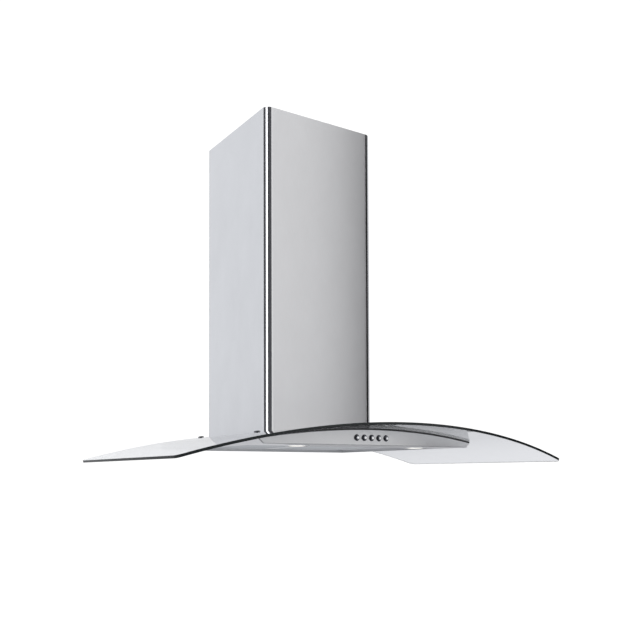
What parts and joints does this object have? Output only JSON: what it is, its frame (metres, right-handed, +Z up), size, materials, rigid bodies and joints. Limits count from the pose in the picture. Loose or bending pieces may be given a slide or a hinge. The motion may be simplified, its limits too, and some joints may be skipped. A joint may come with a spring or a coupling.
{
  "type": "island range hood",
  "caption": "Ceiling-hung range hood: curved glass canopy over a shallow steel body, telescopic square chimney, push buttons, lamps, hinged grease filters, blower and backdraft flaps.",
  "frame": {"origin": "centre of the ceiling plate's top face, where the hood meets the ceiling", "axes": "+Z up, -Y towards the front with the buttons, +X to the right as seen from the front"},
  "size_m": [0.9, 0.5805, 0.7493],
  "materials": {
    "stainless": "fine vertical brushing on the chimney, horizontal on the body",
    "polished": "polished",
    "zinc": "zinc-plated, dull",
    "glass": "clear tempered, polished edge",
    "gasket": "matt black",
    "black_plastic": "moulded, satin",
    "grey_plastic": "moulded, matt",
    "motor_steel": "painted, satin",
    "aluminium": "mill finish, woven mesh",
    "lens": "frosted",
    "wire": "PVC sleeve"
  },
  "bodies": {
    "ceiling_frame": {"ceiling_plate": "zinc", "upper_angle_front_left": "zinc", "upper_angle_front_right": "zinc", "upper_angle_rear_left": "zinc", "upper_angle_rear_right": "zinc", "upper_cover_front": "stainless", "upper_cover_rear": "stainless"},
    "hood": {"lower_angle_front_left": "zinc", "lower_angle_front_right": "zinc", "lower_angle_rear_left": "zinc", "lower_angle_rear_right": "zinc", "height_bolt_front_left": "zinc", "height_bolt_front_right": "zinc", "height_bolt_rear_left": "zinc", "height_bolt_rear_right": "zinc", "chimney_front": "stainless", "chimney_rear": "stainless", "glass_canopy": "glass", "glass_screw_front_left": "polished", "glass_screw_front_right": "polished", "glass_screw_rear_left": "polished", "glass_screw_rear_right": "polished", "glass_gasket": "gasket", "canopy_body": "stainless", "front_fascia": "stainless", "switch_block": "black_plastic", "lamp_housing_left": "polished", "lamp_lens_left": "lens", "lamp_housing_right": "polished", "lamp_lens_right": "lens", "filter_tray": "stainless", "blower_base": "grey_plastic", "blower_cover": "grey_plastic", "motor_bracket": "zinc", "motor": "motor_steel", "outlet_collar": "black_plastic", "damper_pin": "zinc", "junction_box": "black_plastic", "cable_gland": "black_plastic", "capacitor": "grey_plastic", "lamp_driver": "black_plastic", "switch_lead": "wire", "motor_lead": "wire"},
    "button_1": {"button_1": "polished"},
    "button_2": {"button_2": "polished"},
    "button_3": {"button_3": "polished"},
    "button_4": {"button_4": "polished"},
    "button_5": {"button_5": "polished"},
    "filter_left": {"filter_frame_left": "aluminium", "filter_mesh_left": "aluminium"},
    "filter_right": {"filter_frame_right": "aluminium", "filter_mesh_right": "aluminium"},
    "latch_left": {"filter_latch_left": "black_plastic"},
    "latch_right": {"filter_latch_right": "black_plastic"},
    "impeller": {"impeller": "black_plastic", "motor_shaft": "polished"},
    "flap_left": {"damper_flap_left": "aluminium"},
    "flap_right": {"damper_flap_right": "aluminium"}
  },
  "joints": [
    {"name": "height_adjust", "type": "slide", "parent": "ceiling_frame", "child": "hood", "axis": [0, 0, 1], "range_m": [-0.25, 0]},
    {"name": "button_1_press", "type": "slide", "parent": "hood", "child": "button_1", "axis": [0, 1, 0], "range_m": [0, 0.0025], "stiffness_N_per_m": 400, "springref_m": -0.002},
    {"name": "button_2_press", "type": "slide", "parent": "hood", "child": "button_2", "axis": [0, 1, 0], "range_m": [0, 0.0025], "stiffness_N_per_m": 400, "springref_m": -0.002},
    {"name": "button_3_press", "type": "slide", "parent": "hood", "child": "button_3", "axis": [0, 1, 0], "range_m": [0, 0.0025], "stiffness_N_per_m": 400, "springref_m": -0.002},
    {"name": "button_4_press", "type": "slide", "parent": "hood", "child": "button_4", "axis": [0, 1, 0], "range_m": [0, 0.0025], "stiffness_N_per_m": 400, "springref_m": -0.002},
    {"name": "button_5_press", "type": "slide", "parent": "hood", "child": "button_5", "axis": [0, 1, 0], "range_m": [0, 0.0025], "stiffness_N_per_m": 400, "springref_m": -0.002},
    {"name": "filter_left_hinge", "type": "hinge", "parent": "hood", "child": "filter_left", "pos_m": [-0.11, 0.0952, -0.7093], "axis": [1, 0, 0], "range_deg": [0, 75]},
    {"name": "filter_right_hinge", "type": "hinge", "parent": "hood", "child": "filter_right", "pos_m": [0.11, 0.0952, -0.7093], "axis": [1, 0, 0], "range_deg": [0, 75]},
    {"name": "latch_left_slide", "type": "slide", "parent": "filter_left", "child": "latch_left", "axis": [0, 1, 0], "range_m": [0, 0.005], "stiffness_N_per_m": 300, "springref_m": -0.002},
    {"name": "latch_right_slide", "type": "slide", "parent": "filter_right", "child": "latch_right", "axis": [0, 1, 0], "range_m": [0, 0.005], "stiffness_N_per_m": 300, "springref_m": -0.002},
    {"name": "impeller_spin", "type": "hinge", "parent": "hood", "child": "impeller", "pos_m": [0, 0, -0.63], "axis": [0, 0, 1], "continuous": true},
    {"name": "flap_left_swing", "type": "hinge", "parent": "hood", "child": "flap_left", "pos_m": [0, 0, -0.5321], "axis": [0, 1, 0], "range_deg": [0, 75]},
    {"name": "flap_right_swing", "type": "hinge", "parent": "hood", "child": "flap_right", "pos_m": [0, 0, -0.5321], "axis": [0, -1, 0], "range_deg": [0, 75]}
  ]
}
